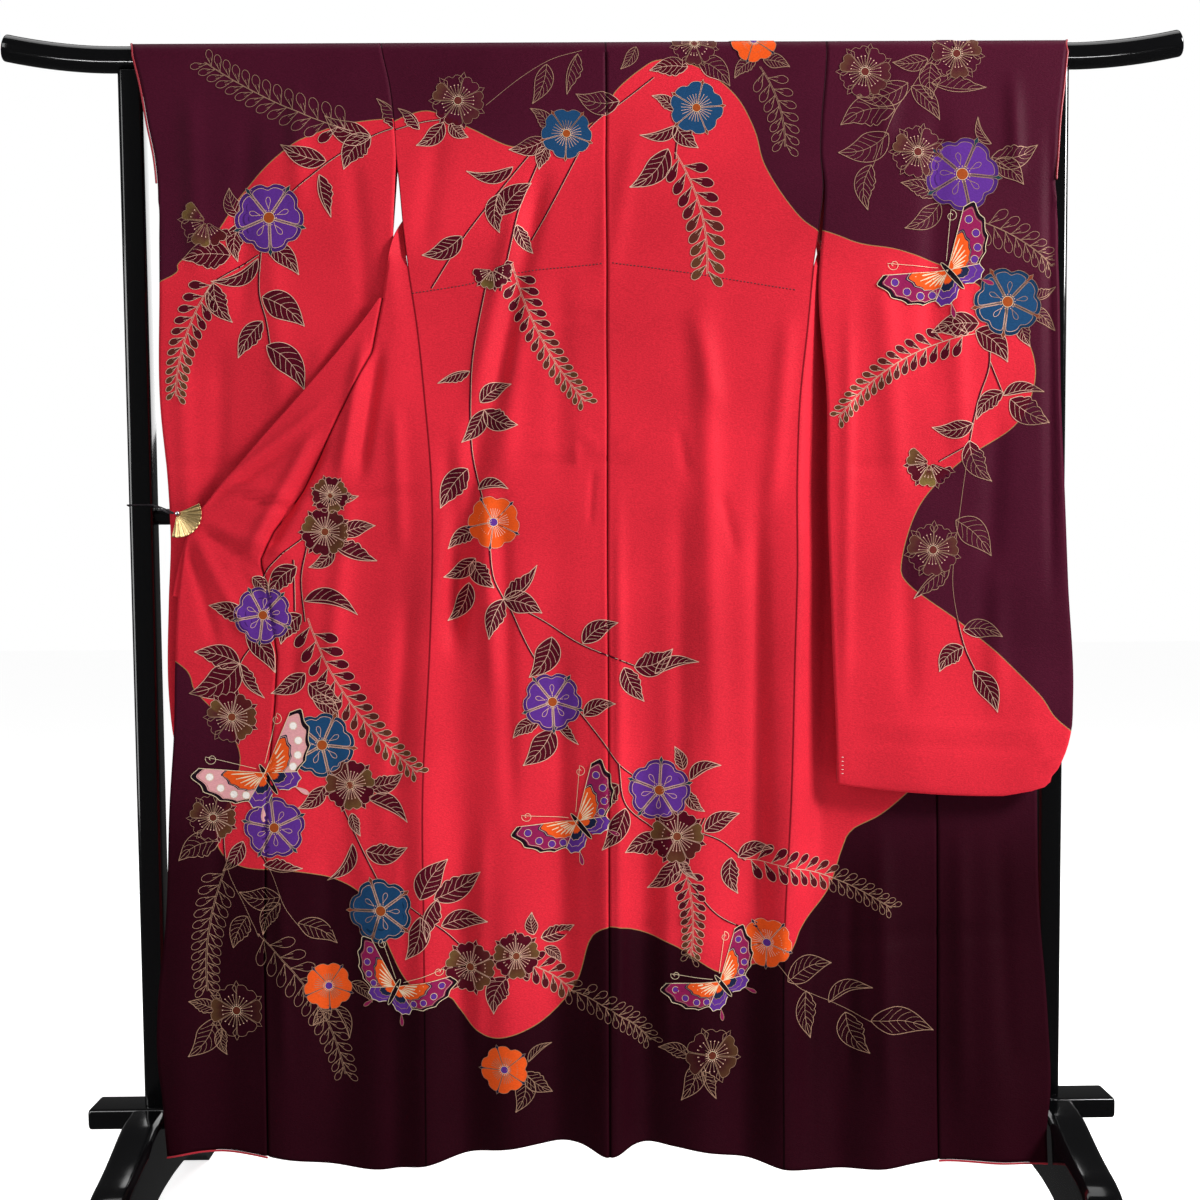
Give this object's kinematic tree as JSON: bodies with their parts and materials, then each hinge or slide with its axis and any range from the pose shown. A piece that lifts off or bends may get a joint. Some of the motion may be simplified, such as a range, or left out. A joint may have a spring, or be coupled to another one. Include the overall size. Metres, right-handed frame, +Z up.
{
  "type": "furisode kimono on lacquered kimono stand",
  "caption": "Long-sleeved crepe silk kimono hung back outwards on a black lacquered stand, one front drawn aside by a fan clip.",
  "frame": {"origin": "on the floor, at the middle of the whole part's box, under the middle of the stand", "axes": "+Z up, +X along the rail, +Y away from the viewer of the kimono's back"},
  "size_m": [1.7274, 0.6, 1.7576],
  "materials": {
    "crepe": "red and plum crepe silk with drawn and dyed flowers",
    "lining": "plain red silk",
    "gilt": "gilt, satin",
    "silver": "polished",
    "cord": "twisted dark silk",
    "lacquer": "black gloss lacquer"
  },
  "bodies": {
    "root": {"left_body": "crepe", "right_body": "crepe", "left_overlap": "crepe", "right_overlap": "crepe", "neck_collar": "crepe", "left_collar": "crepe", "right_collar": "crepe", "left_sleeve_back": "crepe", "left_sleeve_front": "crepe", "right_sleeve_back": "crepe", "right_sleeve_front": "crepe", "left_cuff_roll": "lining", "right_cuff_roll": "lining", "left_hem_roll": "lining", "right_hem_roll": "lining", "fan_clip": "gilt", "fan_rivet": "silver", "fan_cord": "cord", "top_rail": "lacquer", "left_post": "lacquer", "right_post": "lacquer", "middle_rail": "lacquer", "lower_rail": "lacquer", "left_foot": "lacquer", "right_foot": "lacquer"}
  },
  "joints": []
}
